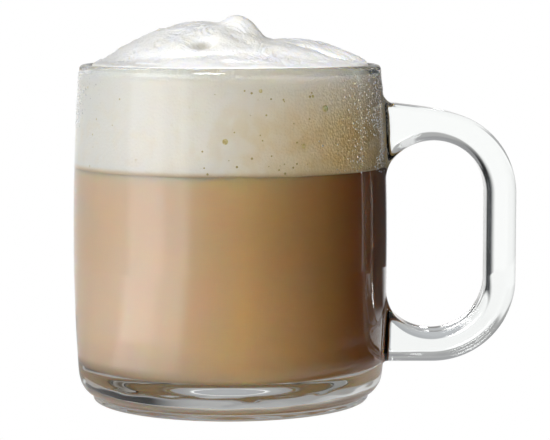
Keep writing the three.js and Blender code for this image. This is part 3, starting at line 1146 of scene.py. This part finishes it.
# %% Scatter the condensation
def droplet_amount(azimuth, z):
    """Condensation: in patches at both edges as the camera sees them, and along the rim on the right."""
    place = Vector((azimuth / 14, z / 6, 2))
    patch = min(1.0, max(0.0, 0.6 + 1.6 * noise.noise(place)))
    right = math.exp(-(((azimuth - 72) / 16) ** 2)) * min(1.0, max(0.0, (z - 62) / 4))
    left = 0.5 * math.exp(-(((azimuth + 80) / 12) ** 2)) * min(1.0, max(0.0, (z - 72) / 6))
    rim = math.exp(-(((z - 86.8) / 1.8) ** 2)) * min(1.0, max(0.0, (azimuth - 42) / 15))
    return min(1.0, right + left + rim) * patch if abs(azimuth) < 150 else 0.0


droplets = guide_surface(
    "condensation_droplets",
    lambda z: float(skin_radius(z)),
    np.linspace(62, 88, 27),
    180,
    droplet_amount,
)
scattered(
    droplets,
    balls,
    {
        "Density": 7500000.0,
        "Smallest Radius": 0.08 * MM,
        "Largest Radius": 0.32 * MM,
        "Size Power": 4.0,
        "Flatness": 0.45,
        "Seed": 9,
        "Material": water_material,
    },
)

# %% [markdown]
# ## The studio
# Clear glass has no look of its own: it shows what stands round it. So the studio is painted as rings of
# light and dark round the mug, as a photographer sets up white cards, a window and black cards. The camera
# itself sees only white paper behind and below.
# A stop of a ring is its azimuth in degrees, nought at the camera's side and growing towards the handle,
# and its red, green and blue. Level with the mug there is white paper behind it, a window at the left, and
# dark cards from the camera round to the right, with one narrow gap of light in them. A little higher, the
# paper behind it is less than half as bright, and higher still all is dimmer.

# %% Set the rings round the mug
LOW_RING = (
    (-180, 1.05, 1.05, 1.05),
    (-160, 0.9, 0.9, 0.9),
    (-136, 0.7, 0.7, 0.7),
    (-116, 0.7, 0.7, 0.7),
    (-95, 1.1, 1.1, 1.1),
    (-80, 1.6, 1.6, 1.6),
    (-74, 2.8, 2.8, 2.8),
    (-52, 2.8, 2.8, 2.8),
    (-45, 1.9, 1.9, 1.9),
    (-33, 1.9, 1.9, 1.9),
    (-26, 0.4, 0.4, 0.35),
    (-8, 0.1, 0.08, 0.05),
    (30, 0.03, 0.022, 0.012),
    (111, 0.02, 0.024, 0.028),
    (113, 0.9, 0.9, 0.9),
    (116, 0.9, 0.9, 0.9),
    (118, 0.05, 0.055, 0.06),
    (160, 0.05, 0.055, 0.06),
    (172, 1.05, 1.05, 1.05),
    (180, 1.05, 1.05, 1.05),
)
BEHIND = 150
BEHIND_SHARE = 0.43
GREY_BEHIND = []
for azimuth, *levels in LOW_RING:
    share = BEHIND_SHARE if abs(azimuth) > BEHIND else 1
    GREY_BEHIND.append((azimuth, *(level * share for level in levels)))
HIGH_RING = (
    (-180, 0.35, 0.35, 0.36),
    (-145, 0.35, 0.35, 0.35),
    (-90, 0.25, 0.25, 0.25),
    (-40, 0.3, 0.3, 0.29),
    (-8, 0.25, 0.24, 0.22),
    (30, 0.08, 0.06, 0.04),
    (65, 0.45, 0.43, 0.4),
    (115, 0.45, 0.43, 0.4),
    (150, 0.3, 0.3, 0.31),
    (180, 0.35, 0.35, 0.36),
)
print("stops of the rings:", len(LOW_RING), "low,", len(HIGH_RING), "high")

# %% [markdown]
# The floor lights the mug from below, mostly through the thick base, so it has rings of its own: one close
# to the foot, one a little further out, whose bright stretch shows in the handle, and a far one. The two
# outer ones repeat the rings above as far as the narrow gap of light and differ after it.

# %% Set the rings on the floor
CLOSE_FLOOR = (
    (-180, 0.42, 0.43, 0.45),
    (-60, 0.35, 0.35, 0.36),
    (-8, 0.2, 0.18, 0.14),
    (30, 0.05, 0.035, 0.02),
    (62, 0.05, 0.035, 0.02),
    (82, 0.55, 0.56, 0.58),
    (110, 0.55, 0.56, 0.58),
    (150, 0.40, 0.41, 0.43),
    (180, 0.42, 0.43, 0.45),
)
GAP_ENDS = 117
DARK_AGAIN = 119
MIDDLE_FLOOR = [stop for stop in GREY_BEHIND if stop[0] < GAP_ENDS] + [
    (128, 1.0, 1.0, 1.0),
    (163, 1.0, 1.0, 1.0),
    (169, 0.45, 0.45, 0.46),
    (180, 0.45, 0.45, 0.46),
]
FAR_FLOOR = [stop for stop in LOW_RING if stop[0] < DARK_AGAIN] + [
    (140, 0.05, 0.055, 0.06),
    (151, 1.0, 1.0, 1.0),
    (180, 1.05, 1.05, 1.05),
]
print("stops of the floor's rings:", len(CLOSE_FLOOR), len(MIDDLE_FLOOR), len(FAR_FLOOR))

# %% [markdown]
# A colour in a node goes only up to one, and the soft box is far brighter than paper. So every colour is
# divided by that brightness, and the light's strength multiplies it back.

# %% Helpers for the studio
BRIGHTEST = 43.0
PAPER = (1.0, 1.0, 1.0, 1.0)


def azimuth_share(tree, direction):
    """How far round a direction lies: nought at the back, a half at the camera's side; and its height."""
    parts = add(tree, "ShaderNodeSeparateXYZ", {0: direction})
    back = add(tree, "ShaderNodeMath", {0: parts.outputs["Y"], 1: -1.0}, operation="MULTIPLY")
    turn = add(tree, "ShaderNodeMath", {0: parts.outputs["X"], 1: back.outputs[0]}, operation="ARCTAN2")
    whole = {"Value": turn.outputs[0], "From Min": -math.pi, "From Max": math.pi}
    return add(tree, "ShaderNodeMapRange", whole).outputs[0], parts.outputs["Z"]


def painted_ring(tree, share, ring):
    """The ring's colours round the mug."""
    ramp = add(tree, "ShaderNodeValToRGB", {0: share})
    stops = ramp.color_ramp.elements
    while len(stops) < len(ring):
        stops.new(0.5)
    for stop, (azimuth, red, green, blue) in zip(stops, ring):
        stop.position = azimuth / 360 + 0.5
        stop.color = (red / BRIGHTEST, green / BRIGHTEST, blue / BRIGHTEST, 1)
    return ramp.outputs[0]


def grey_level(level):
    """A neutral colour of that brightness."""
    return (level / BRIGHTEST, level / BRIGHTEST, level / BRIGHTEST, 1)


def light_and_paper(tree, kind, around):
    """The painted colours as light for everything but the camera, which sees white paper."""
    seen = add(tree, "ShaderNodeLightPath").outputs["Is Camera Ray"]
    light = add(tree, kind, {"Color": around, "Strength": BRIGHTEST})
    paper = add(tree, kind, {"Color": PAPER, "Strength": 1.0})
    both = {0: seen, 1: light.outputs[0], 2: paper.outputs[0]}
    return add(tree, "ShaderNodeMixShader", both).outputs[0]


# %% [markdown]
# The rings go on the world, which is a picture of all directions. A direction's height is nought when
# level and one straight up, and the rings turn into each other between the heights named here.

# %% Paint the rings
LOW_TO_GREY = (-0.01, 0.05)
GREY_TO_HIGH = (0.13, 0.22)
HIGH_TO_CEILING = (0.78, 0.9)
CEILING = 0.35
world = bpy.data.worlds.new("studio")
bpy.context.scene.world = world
world.use_nodes = True
tree = world.node_tree
tree.nodes.clear()
share, height = azimuth_share(tree, add(tree, "ShaderNodeTexCoord").outputs["Generated"])
low, grey, high = (painted_ring(tree, share, ring) for ring in (LOW_RING, GREY_BEHIND, HIGH_RING))
around = turning(tree, height, *LOW_TO_GREY, low, grey, soft=True)
around = turning(tree, height, *GREY_TO_HIGH, around, high, soft=True)
around = turning(tree, height, *HIGH_TO_CEILING, around, grey_level(CEILING), soft=True)
print("nodes of the rings:", len(tree.nodes))

# %% [markdown]
# The key light is a large soft box, high up and to the left of the camera. The wall's reflections look
# level or down, so they never show it, but it gives the drink its bright side and its shaded one. It is
# where all four of its edges let light through, and each edge is a soft step.

# %% Hang the soft box
KEY_AZIMUTH = -15
KEY_WIDTH = 20
KEY_BOTTOM = 0.22
KEY_TOP = 0.48
SIDE_SOFTNESS = 0.01
HEIGHT_SOFTNESS = 0.05
left, right = (0.5 + (KEY_AZIMUTH + side * KEY_WIDTH / 2) / 360 for side in (-1, 1))
box = 1.0
for value, dark, bright in (
    (share, left - SIDE_SOFTNESS, left + SIDE_SOFTNESS),
    (share, right + SIDE_SOFTNESS, right - SIDE_SOFTNESS),
    (height, KEY_BOTTOM - HEIGHT_SOFTNESS, KEY_BOTTOM + HEIGHT_SOFTNESS),
    (height, KEY_TOP + HEIGHT_SOFTNESS, KEY_TOP - HEIGHT_SOFTNESS),
):
    step = {"Value": value, "From Min": dark, "From Max": bright}
    edge = add(tree, "ShaderNodeMapRange", step, interpolation_type="SMOOTHSTEP")
    box = add(tree, "ShaderNodeMath", {0: box, 1: edge.outputs[0]}, operation="MULTIPLY").outputs[0]
lit_box = {0: box, 1: around, 2: grey_level(BRIGHTEST)}
around = add(tree, "ShaderNodeMixRGB", lit_box).outputs[0]
studio = light_and_paper(tree, "ShaderNodeBackground", around)
add(tree, "ShaderNodeOutputWorld", {"Surface": studio})
print("nodes of the studio:", len(tree.nodes))

# %% [markdown]
# The floor is a disc of white paper a hair's breadth under the foot. Its light comes from its own rings,
# and the patch that the mug stands on is an even grey, because it lights the underside. The Standard view
# shows white paper as white.

# %% Lay the floor
PAPER_RADIUS = 300.0
PAPER_BELOW = 0.03
UNDER_MUG = 0.5
MUG_TO_CLOSE = (0.041, 0.06)
CLOSE_TO_MIDDLE = (0.08, 0.09)
MIDDLE_TO_FAR = (0.15, 0.19)
floor = mesh_object("floor", *lathe([(0, -PAPER_BELOW), (PAPER_RADIUS, -PAPER_BELOW)], 64)[:2])
floor_material, tree = new_material("white paper")
place = add(tree, "ShaderNodeTexCoord").outputs["Object"]
share = azimuth_share(tree, place)[0]
close, middle, far = (painted_ring(tree, share, ring) for ring in (CLOSE_FLOOR, MIDDLE_FLOOR, FAR_FLOOR))
away = add(tree, "ShaderNodeVectorMath", {0: place}, operation="LENGTH").outputs["Value"]
around = turning(tree, away, *CLOSE_TO_MIDDLE, close, middle, soft=True)
around = turning(tree, away, *MIDDLE_TO_FAR, around, far, soft=True)
around = turning(tree, away, *MUG_TO_CLOSE, grey_level(UNDER_MUG), around, soft=True)
paper_light = light_and_paper(tree, "ShaderNodeEmission", around)
add(tree, "ShaderNodeOutputMaterial", {"Surface": paper_light})
floor.data.materials.append(floor_material)
bpy.context.scene.view_settings.view_transform = "Standard"

# %% [markdown]
# ## Attach the pieces
# Each piece rides on the one body the record has. The glass, the coffee and the foam also stand for their
# CAD nodes, which are hidden.

# %% Attach the pieces
for piece, cad_node, finish in (
    (glass, "glass_mug", "clear_glass"),
    (coffee, "milk_coffee", "milk_coffee"),
    (foam, "foam_head", "milk_foam"),
):
    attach(piece, "root")
    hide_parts(cad_node)
for piece, finish in ((bubbles, "milk_foam"), (large_bubbles, "milk_foam"), (droplets, "clear_glass")):
    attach(piece, "root")
